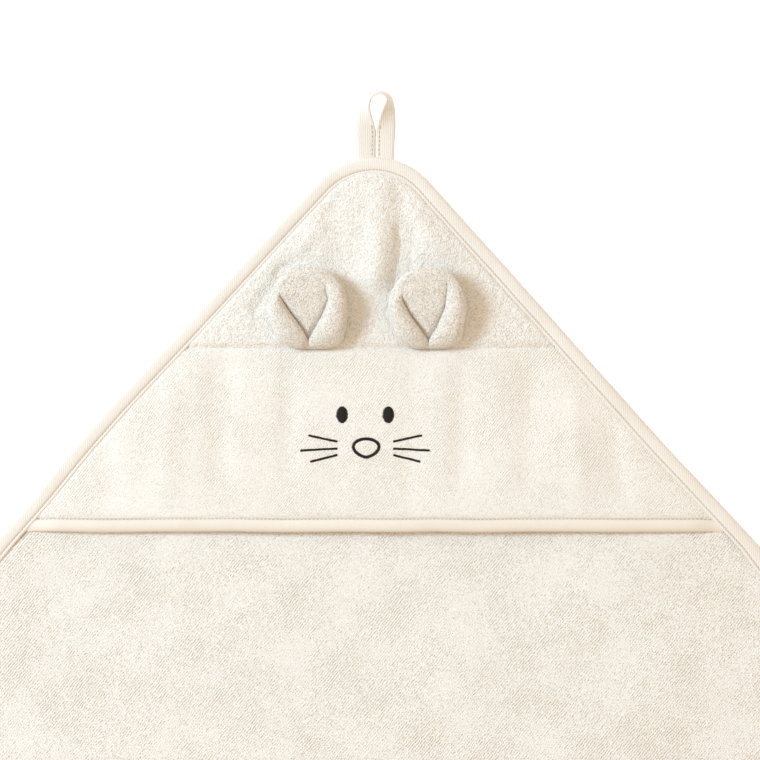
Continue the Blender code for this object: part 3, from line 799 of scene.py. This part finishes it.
def build_hem(tape, sewing):
    reach = half_width_at(HEM_HIGH, HEM_END_INSET)
    rings = []
    for x in steps(-reach, reach, STITCH_PITCH / 2):
        inside = clear_of_tape(x, HEM_LOW + 4 * MM)
        base = PANEL_BASE + hood_loft(x, HEM_HIGH) - HEM_TUCK * (1 - inside)
        roll = mix(0.5, 1, inside) * (1 + 0.11 * wave(x, 0, 21, 1, 3.3))
        low = HEM_LOW + hem_drift(x)
        rings.append([Vector((x, low + y * MM, base + z * MM * roll)) for y, z in HEM_SECTION])
    hem = piece("hem_binding", lofted(rings), tape, 75)
    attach(hem, "hood_corner")
    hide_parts("hood_hem_tape")

    spots = []
    for x in steps(-reach + HEM_STITCH_START, reach - HEM_STITCH_START, STITCH_PITCH):
        height = panel_bottom(x, HEM_HIGH) + HEM_STITCH_Z
        spots.append(Vector((x, HEM_LOW + HEM_STITCH_Y + hem_drift(x), height)))
    stitches = bmesh.new()
    add_row(stitches, spots, SEWING_THREAD, 0.2 * MM, UP, bare=0.14)
    row = piece("hem_stitches", stitches, sewing)
    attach(row, "hood_corner")
    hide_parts("hood_hem_stitching")


# ---- the ears

EAR_LENGTH = 50 * MM
EAR_TILT = math.radians(12)
EAR_ROWS = 64
EAR_LAST_ROW = 0.9985  # share of its height at which the head is capped
EAR_ROW_CROWDING = 1.35  # above 1, rows crowd towards the head
EAR_HALF_WIDTH = 23.2 * MM
EAR_HALF_FOOT = 17.6 * MM
EAR_WIDEST = 0.48  # share of its height at which it is widest
EAR_SEAM_AHEAD = 1.5 * MM  # from the hinge to the ear's foot
EAR_TUCK = Vector((0, -1.2 * MM, -0.8 * MM))  # from its foot into the seam
EAR_FUZZ = 0.34 * MM
EAR_TUFT = 1.4 * MM

EARS = {  # each ear's turned-in edges as (height, distance from its middle), in millimetres
    "left": {
        "shift": ((0, 1.6), (14, -0.2), (24, -0.6), (34, -0.2), (42, -0.6), (50, -2.0)),
        "left_edge": ((0, -1.0), (5, -1.1), (13, -5.6), (22, -11.8), (31, -17.0), (50, -18)),
        "right_edge": ((0, -0.2), (5, 0.1), (13, 4.6), (20, 8.2), (29, 11.6), (37, 10.4), (50, 8)),
        "left_end": (0.56, 0.70),
        "right_end": (0.70, 0.82),
    },
    "right": {
        "shift": ((0, 1.8), (14, 0.6), (24, 0.4), (34, 0.4), (42, 0.8), (50, 1.2)),
        "left_edge": ((0, 0.6), (4, 0.7), (13, -5.2), (22, -11.2), (29, -14.6), (50, -16)),
        "right_edge": ((0, 1.6), (4, 1.9), (13, 7.0), (25, 11.8), (37, 13.0), (50, 10)),
        "left_end": (0.54, 0.68),
        "right_end": (0.72, 0.84),
    },
}


def ear_half_width(t):
    """Half the folded ear's width: a soft round foot, a wider middle and a round head."""
    foot = mix(0.74, 1, math.sqrt(ramp(t, 0, 0.09)))
    if t < EAR_WIDEST:
        return foot * mix(EAR_HALF_FOOT, EAR_HALF_WIDTH, math.sin(math.pi / 2 * t / EAR_WIDEST))
    return EAR_HALF_WIDTH * math.sqrt(max(1 - ((t - EAR_WIDEST) / (1 - EAR_WIDEST)) ** 1.9, 0))


def ear_ring(shape, t):
    """The closed section of a folded ear across its width, at share t of its height.

    Its heights are floor (the back), top (the folded sides), bed (between the sides) and deep (in the V).
    """
    height = t * EAR_LENGTH / MM
    half = ear_half_width(t)
    shift = through(shape["shift"], height) * MM
    closing = math.sqrt(max(1 - ramp(t, 0.76, 1.0) ** 2, 0))
    foot = mix(0.34, 1, math.sqrt(ramp(t, 0, 0.16)))
    thickness = mix(8.6, 10.4, smooth(t, 0, 0.3)) * mix(1, 0.74, smooth(t, 0.5, 0.82))
    top = foot * thickness * closing * MM
    floor = 0.5 * MM * (1 - smooth(t, 0, 0.1)) + top * 0.3 * smooth(t, 0.84, 1.0)
    bed = mix(3.0, 6.0, smooth(t, 0.05, 0.55)) * MM
    deep = mix(2.2, 3.0, smooth(t, 0.05, 0.5)) * MM

    def pillow(x):
        """The head's smooth rounded surface, where the sides are no longer folded in."""
        away = min(abs(x - shift) / half, 1)
        dip = 1.5 * MM * smooth(away, 0.85, 0.4) * (1 - smooth(t, 0.76, 0.9))
        return mix(floor, top, 0.5 + 0.5 * math.sqrt(1 - away**2.6)) - dip

    def at(x, z):
        return Vector((x, 0, z))

    sides = {}
    for name, sign in SIDES:
        open_share = 1 - smooth(t, *shape[name + "_end"])
        outer = shift + sign * half
        edge = through(shape[name + "_edge"], height) * MM
        edge = sign * min(sign * edge, sign * outer - min(4.5 * MM, half * 0.5))
        sides[name] = (outer, edge, open_share)
    valley = max(sides["right"][1] - sides["left"][1], 0.4 * MM)
    pulled = smooth(valley, 1 * MM, 9 * MM)
    points = {}
    for name, sign in SIDES:
        outer, edge, open_share = sides[name]
        width = edge - outer

        def flap(share, folded):
            """A point of the folded side: its share of the way in, and its height from floor to top."""
            x = outer + width * share
            return at(x, mix(pillow(x), mix(floor, top, folded), open_share))

        inward = edge - sign * min(2.6 * MM, valley * 0.33)
        inner_bed = mix(pillow(inward), mix(deep, bed, pulled), open_share)
        lip = edge - sign * 0.5 * MM * open_share
        crease = edge + sign * 0.9 * MM * open_share
        points[name] = [
            at(outer - sign * min(2.8 * MM, half * 0.3), mix(floor, top, 0.04)),
            at(outer - sign * min(0.7 * MM, half * 0.1), mix(floor, top, 0.22)),
            at(outer, mix(floor, top, 0.48)),
            flap(0.1, 0.76),
            flap(0.3, 0.96),
            flap(0.58, 1.0),
            flap(0.84, 0.9),
            at(lip, mix(pillow(lip), mix(floor, top, 0.6), open_share)),
            at(crease, mix(pillow(crease), deep, open_share)),
            at(inward, inner_bed),
        ]
    middle_open = max(sides["left"][2], sides["right"][2])
    middle_x = mix(sides["left"][1], sides["right"][1], 0.5)
    middle = at(middle_x, mix(pillow(middle_x), mix(deep, bed + 0.8 * MM, pulled), middle_open))
    return smooth_ring([at(shift, floor)] + points["right"] + [middle] + points["left"][::-1], 4)


def build_ears(surface):
    for side, shape in EARS.items():
        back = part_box(f"{side}_ear_back_layer")
        hinge = JOINTS[f"{side}_ear_flop"]
        origin = Vector((hinge.x, hinge.y + EAR_SEAM_AHEAD, back[0].z))
        place = Matrix.Translation(origin) @ Matrix.Rotation(EAR_TILT, 4, "X")
        rings = []
        for row in range(EAR_ROWS + 1):
            t = min(1 - (1 - row / EAR_ROWS) ** EAR_ROW_CROWDING, EAR_LAST_ROW)
            rise = Vector((0, t * EAR_LENGTH, 0))
            rings.append([place @ (point + rise) for point in ear_ring(shape, t)])
        middle = sum(rings[0], Vector()) / len(rings[0])
        root = [middle.lerp(point, 0.8) + EAR_TUCK for point in rings[0]]
        bm = lofted([root] + rings)
        fuzz(bm, EAR_FUZZ, EAR_TUFT)
        ear = piece(f"{side}_ear", bm, surface, 80)
        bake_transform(ear)
        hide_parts(f"{side}_ear_back_layer", f"{side}_ear_front_layer")


# ---- the hanging loop

LOOP_ROOT = Vector((1.0 * MM, APEX_Y + 0.5 * MM, 2.9 * MM))
LOOP_HIDDEN = 5 * MM
LOOP_HALF_THICKNESS = 0.9 * MM
LOOP_SEWN = 19  # points of each leg that are sewn
LOOP_STITCH_SHARE = 0.82  # from the outer edge to the inner
LOOP_STITCH_LIFT = 0.72 * MM
LOOP_OUTER = (  # the tape's two edges from the left root over the top to the right root, in millimetres
    (-11.5, 0, 0), (-11.6, 12, 0), (-11.4, 22, 0.2), (-9.6, 31, 0.6), (-5.0, 36.8, 1.2), (2.0, 39.0, 1.6),
    (8.6, 36.4, 1.2), (11.4, 29.5, 0.6), (12.0, 21, 0.2), (11.6, 12, 0), (10.9, 0, 0),
)
LOOP_INNER = (
    (-0.1, 0, -0.3), (-0.1, 10, -0.3), (-0.2, 17, 0.3), (-3.5, 28.5, 5.8), (-2.0, 35.0, 8.5),
    (2.6, 37.2, 9.0), (6.6, 34.2, 8.4), (3.8, 27.8, 6.0), (0.3, 17, 0.9), (0.1, 10, -0.3), (0.1, 0, -0.3),
)
LOOP_SECTION = (  # (share from the outer edge to the inner, half thicknesses) round the folded tape
    (0.0, 0.0), (0.03, 0.62), (0.12, 0.95), (0.3, 1.0), (0.55, 0.96), (0.74, 1.0), (0.82, 0.82),
    (0.9, 1.0), (0.98, 0.62), (1.0, 0.0), (0.98, -0.62), (0.88, -0.95), (0.55, -1.0), (0.12, -0.95),
    (0.03, -0.62),
)


def build_loop(tape, sewing):
    edges = []
    for side in (LOOP_OUTER, LOOP_INNER):
        line = smooth_through([LOOP_ROOT + Vector(point) * MM for point in side], 8)
        hidden = Vector((0, LOOP_HIDDEN, 0))
        edges.append([line[0] - hidden] + line + [line[-1] - hidden])
    outer, inner = edges
    rings = []
    normals = []
    for i, (start, end) in enumerate(zip(outer, inner)):
        along = outer[min(i + 1, len(outer) - 1)] - outer[max(i - 1, 0)]
        along += inner[min(i + 1, len(inner) - 1)] - inner[max(i - 1, 0)]
        normal = (end - start).cross(along).normalized()
        normals.append(normal)
        half = normal * LOOP_HALF_THICKNESS
        rings.append([start.lerp(end, share) + half * depth for share, depth in LOOP_SECTION])
    loop = piece("hanging_loop_tape", lofted(rings), tape, 75)
    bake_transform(loop)
    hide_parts("hanging_loop")

    stitches = bmesh.new()
    last = len(outer) - 2
    for leg in (range(1, LOOP_SEWN + 1), range(last, last - LOOP_SEWN, -1)):
        line = [outer[i].lerp(inner[i], LOOP_STITCH_SHARE) + normals[i] * LOOP_STITCH_LIFT for i in leg]
        spots = [line[0]]
        for point in line[1:]:
            if (point - spots[-1]).length >= STITCH_PITCH * 0.9:
                spots.append(point)
        add_row(stitches, spots, 0.45 * MM, 0.2 * MM, normals[leg[0]])
    row = piece("loop_stitches", stitches, sewing)
    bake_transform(row)


# ---- the stitched face

FACE_X = -5.2 * MM
EYE_X = 13.8 * MM  # from the face's middle
EYE_Y = 382.2 * MM
EYE_HALF_WIDTH = 3.6 * MM
EYE_HALF_HEIGHT = 5.0 * MM
EYE_STITCHED = 4.75 * MM  # from an eye's middle to its last stitch
WHISKER_X = 16.9 * MM  # where a whisker starts
WHISKER_Y = 361.9 * MM
WHISKER_WIDTH = 1.4 * MM
WHISKERS = (  # name, x of its end, rise at its start, rise at its end, in millimetres
    ("upper", 33.6, 4.3, 7.9), ("middle", 38.4, 0.1, -1.1), ("lower", 32.6, -3.8, -7.7),
)
NOSE_X = FACE_X + 0.5 * MM
NOSE_Y = 363.2 * MM
NOSE_HALF_WIDTH = 7.7 * MM
NOSE_ABOVE = 4.6 * MM
NOSE_BELOW = 6.4 * MM
NOSE_TAPER = 1.45  # above 1, the lower half narrows towards its tip
NOSE_LINE = 1.95 * MM
SATIN_PITCH = 0.38 * MM
SATIN_THREAD = 0.5 * MM
SATIN_SLANT = 0.12 * MM
SATIN_LIFT = 0.05 * MM


def on_face(x, y):
    """A place just over the face panel, where a satin stitch starts or ends."""
    return Vector((x, y, face_top(x, y) + SATIN_LIFT))


def satin_line(bm, line, width, rng):
    """Short stitches side by side across a line of points."""
    length = sum((b - a).length for a, b in zip(line, line[1:]))
    count = max(round(length / SATIN_PITCH), 2)
    travelled = 0
    wanted = [length * k / count for k in range(count + 1)]
    for a, b in zip(line, line[1:]):
        run = (b - a).length
        while wanted and wanted[0] <= travelled + run + 1e-9:
            point = a.lerp(b, (wanted.pop(0) - travelled) / run)
            side = Vector((a.y - b.y, b.x - a.x)).normalized()
            reach = side * width / 2 * rng.uniform(0.9, 1.08) + (b - a).normalized() * SATIN_SLANT
            start, end = on_face(*(point - reach)), on_face(*(point + reach))
            add_strand(bm, start, end, SATIN_THREAD, 0.3 * MM, UP, rings=6)
        travelled += run


def nose_line(count=72):
    """A rounded triangle: half an ellipse above, two sides curving to a soft point below."""
    line = []
    for step in range(count + 1):
        angle = 2 * math.pi * step / count
        across, up = math.cos(angle), math.sin(angle)
        if up < 0:
            across = math.copysign(abs(across) ** NOSE_TAPER, across)
        height = NOSE_ABOVE if up >= 0 else NOSE_BELOW
        line.append(Vector((NOSE_X + NOSE_HALF_WIDTH * across, NOSE_Y + height * up)))
    return line


def build_face(dark):
    rng = random.Random(7)
    bodies = []
    for side, sign in SIDES:
        bm = bmesh.new()
        centre = FACE_X + sign * EYE_X
        for dy in steps(-EYE_STITCHED, EYE_STITCHED, SATIN_PITCH):
            chord = EYE_HALF_WIDTH * math.sqrt(1 - (dy / EYE_HALF_HEIGHT) ** 2)
            start = on_face(centre - chord * rng.uniform(0.93, 1.06), EYE_Y + dy)
            end = on_face(centre + chord * rng.uniform(0.95, 1.04), EYE_Y + dy)
            add_strand(bm, start, end, SATIN_THREAD, 0.2 * MM + chord * 0.11, UP, rings=8)
        bodies.append((piece(f"{side}_eye_stitches", bm, dark), f"{side}_eye"))
        for name, reach, start_rise, end_rise in WHISKERS:
            bm = bmesh.new()
            start = Vector((FACE_X + sign * WHISKER_X, WHISKER_Y + start_rise * MM))
            end = Vector((FACE_X + sign * reach * MM, WHISKER_Y + end_rise * MM))
            line = [start.lerp(end, k / 8) + Vector((0, rng.uniform(-0.08, 0.08) * MM)) for k in range(9)]
            satin_line(bm, line, WHISKER_WIDTH, rng)
            whisker = piece(f"{side}_{name}_whisker_stitches", bm, dark)
            bodies.append((whisker, f"{side}_{name}_whisker"))
    bm = bmesh.new()
    satin_line(bm, nose_line(), NOSE_LINE, rng)
    bodies.append((piece("nose_stitches", bm, dark), "nose_outline"))
    for made, replaced in bodies:
        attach(made, "hood_corner")
        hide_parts(replaced)


PATCH_GAP = 0.15 * MM  # below the face panel
PATCH_THICKNESS = 0.35 * MM
PATCH_GRID = 3 * MM
LABEL_HALF_WIDTH = 9 * MM
LABEL_LENGTH = 26 * MM
LABEL_TUCKED = 2.5 * MM
LABEL_PAST = 1 * MM
LABEL_HALF_THICKNESS = 0.2 * MM
LABEL_RISE = 1.6 * MM
LABEL_CUP = 0.5 * MM
LABEL_SHARE = 0.26  # of the way from the foot to the left wing


def patch_top(x, y):
    return panel_bottom(x, y) - PATCH_GAP


def build_patch(felt):
    """The patch behind the stitched face."""
    low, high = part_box("embroidery_backing")
    flat = flat_grid(steps(low.x, high.x, PATCH_GRID), steps(low.y, high.y, PATCH_GRID))
    bm = solid(flat, patch_top, lambda x, y: patch_top(x, y) - PATCH_THICKNESS)
    patch = piece("backing_patch", bm, felt)
    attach(patch, "hood_corner")
    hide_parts("embroidery_backing")


def build_label(ribbon):
    """The blank care label at the foot corner's edge."""
    spot = Vector((-HALF_WIDTH * LABEL_SHARE, -HALF_LENGTH * (1 - LABEL_SHARE), CLOTH_TOP))
    turn = Matrix.Translation(spot) @ Matrix.Rotation(-SIDE_HALF_ANGLE, 4, "Z")
    across = steps(-LABEL_HALF_WIDTH, LABEL_HALF_WIDTH, 2 * MM)
    rings = []
    for y in steps(TAPE_WIDTH - LABEL_TUCKED, TAPE_WIDTH + LABEL_PAST + LABEL_LENGTH, 1.5 * MM):
        share = ramp(y, TAPE_WIDTH, TAPE_WIDTH + LABEL_LENGTH)
        lift = mix(-0.2, 0.6, smooth(share, 0, 0.15)) * MM + LABEL_RISE * share**2
        ring = []
        for xs, thick in ((across, -LABEL_HALF_THICKNESS), (across[::-1], LABEL_HALF_THICKNESS)):
            for x in xs:
                cup = LABEL_CUP * (x / LABEL_HALF_WIDTH) ** 2 * share
                ring.append(turn @ Vector((x, y, lift + thick + cup)))
        rings.append(ring)
    label = piece("blank_label", lofted(rings), ribbon)
    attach(label, "foot_corner")
    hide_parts("care_label")


# ---- studio

VIEW_WIDTH = 456 * MM
VIEW_HEIGHT = 3.0
VIEW_MIDDLE = Vector((3.6 * MM, 403 * MM, 0))
FLOOR_HALF = 8
FLOOR_Z = -0.3 * MM
KEY_ELEVATION = math.radians(40)
KEY_BEARING = math.radians(160)
KEY_DISTANCE = 4.0


def build_camera():
    """Looks straight down at the hood, from far above."""
    camera = bpy.data.cameras.new("camera")
    camera.sensor_width = 36
    camera.lens = camera.sensor_width * VIEW_HEIGHT / VIEW_WIDTH
    camera.clip_end = 100
    eye = into_scene("camera", camera)
    eye.location = VIEW_MIDDLE + UP * VIEW_HEIGHT
    bpy.context.scene.camera = eye
    bpy.context.scene.view_settings.view_transform = "Standard"


def build_floor():
    """A white floor that glows faintly."""
    across = steps(-FLOOR_HALF, FLOOR_HALF, 2)
    bm = flat_grid(across, across)
    mesh = bpy.data.meshes.new("studio_floor")
    bm.to_mesh(mesh)
    bm.free()
    surface = bpy.data.materials.new("studio_white")
    surface.use_nodes = True
    tree = surface.node_tree
    shader = tree.nodes["Principled BSDF"]
    fill(tree, shader, Base_Color=(0.93, 0.93, 0.93, 1), Roughness=1.0, Specular_IOR_Level=0.0)
    fill(tree, shader, Emission_Color=(0.62, 0.82, 1.0, 1), Emission_Strength=0.6)
    mesh.materials.append(surface)
    floor = into_scene("studio_floor", mesh)
    floor.location.z = FLOOR_Z


def build_lights():
    """A cool key light from the upper left, and warm light from all round."""
    key = bpy.data.lights.new("key", "AREA")
    key.shape = "DISK"
    key.size = 1.3
    key.energy = 148
    key.color = (0.56, 0.78, 1.0)
    lamp = into_scene("key", key)
    toward = polar(KEY_BEARING) * math.cos(KEY_ELEVATION) + UP * math.sin(KEY_ELEVATION)
    lamp.location = VIEW_MIDDLE + toward * KEY_DISTANCE
    lamp.rotation_mode = "QUATERNION"
    lamp.rotation_quaternion = toward.to_track_quat("Z", "Y")

    world = bpy.data.worlds.new("studio")
    world.use_nodes = True
    tree = world.node_tree
    warm = tree.nodes["Background"]
    fill(tree, warm, Color=(0.84, 0.70, 0.555, 1), Strength=1.0)
    seen = node(tree, "ShaderNodeBackground", Color=(1, 1, 1, 1), Strength=1.05)
    rays = tree.nodes.new("ShaderNodeLightPath")
    chosen = node(tree, "ShaderNodeMixShader", Fac=rays.outputs["Is Camera Ray"])
    feed(tree, chosen.inputs[1], warm.outputs["Background"])
    feed(tree, chosen.inputs[2], seen.outputs["Background"])
    fill(tree, tree.nodes["World Output"], Surface=chosen.outputs["Shader"])
    bpy.context.scene.world = world


CREAM = (0.935, 0.90, 0.835)
TERRY_CREAM = (0.96, 0.93, 0.87)
TAPE_CREAM = (0.86, 0.815, 0.75)
HEM_CREAM = (0.86, 0.80, 0.71)
EAR_CREAM = (0.925, 0.88, 0.805)
# Painted shade colour for the gaps, hollows and grooves of every cloth, also the dark end of its random
# grain
PAINTED_SHADE_AND_GRAIN = (0.60, 0.49, 0.35)

build_camera()
build_floor()
build_lights()

terry_cloth = looped(
    "looped_terry", TERRY_CREAM, PAINTED_SHADE_AND_GRAIN, dash=(2.3 * MM, 1.45 * MM), turn=math.radians(50),
    depth=0.5 * MM, painted_gap_shade=0.8, grain=3.0,
)
face_cloth = looped(
    "short_terry", CREAM, PAINTED_SHADE_AND_GRAIN, dash=(2.0 * MM, 1.35 * MM), turn=math.radians(52),
    depth=0.4 * MM, painted_gap_shade=0.5, grain=2.1,
)
plush_cloth = plush("plush_terry", CREAM, PAINTED_SHADE_AND_GRAIN, tuft=1.15 * MM, depth=0.55 * MM, painted_gap_shade=0.35, grain=1.9)
ear_cloth = plush("ear_plush", EAR_CREAM, PAINTED_SHADE_AND_GRAIN, tuft=1.15 * MM, depth=0.7 * MM, painted_gap_shade=0.45, grain=2.6)
tape_cloth = twill(
    "twill_tape", TAPE_CREAM, PAINTED_SHADE_AND_GRAIN, turn=math.radians(2), pitch=1.25 * MM, depth=0.16 * MM, painted_rib_shade=0.16
)
hem_cloth = twill(
    "hem_tape", HEM_CREAM, PAINTED_SHADE_AND_GRAIN, turn=math.radians(40), pitch=1.1 * MM, depth=0.07 * MM, painted_rib_shade=0.06
)
# The cream and edge threads are darkened to a tan: painted shade of the grooves their stitches sit in.
cream_thread = thread("cream_thread", (0.60, 0.50, 0.38), (0.36, 0.28, 0.19), sheen=0.1, roughness=0.7)
painted_shade_edge_thread = thread("painted_shade_edge_thread", (0.70, 0.62, 0.51), (0.50, 0.42, 0.32), sheen=0.1, roughness=0.7)
dark_thread = thread("dark_thread", (0.03, 0.022, 0.017), (0.01, 0.008, 0.006), sheen=0.05, roughness=0.6)
felt = plain_weave("backing_felt", (0.82, 0.80, 0.76), (0.66, 0.64, 0.6), pitch=0.9 * MM)
ribbon = plain_weave("label_ribbon", (0.86, 0.85, 0.82), (0.7, 0.68, 0.64), pitch=0.5 * MM)

build_cloth(terry_cloth)
build_edge(tape_cloth, painted_shade_edge_thread)
build_panels(face_cloth, plush_cloth)
build_hem(hem_cloth, cream_thread)
build_ears(ear_cloth)
build_loop(tape_cloth, cream_thread)
build_face(dark_thread)
build_patch(felt)
build_label(ribbon)
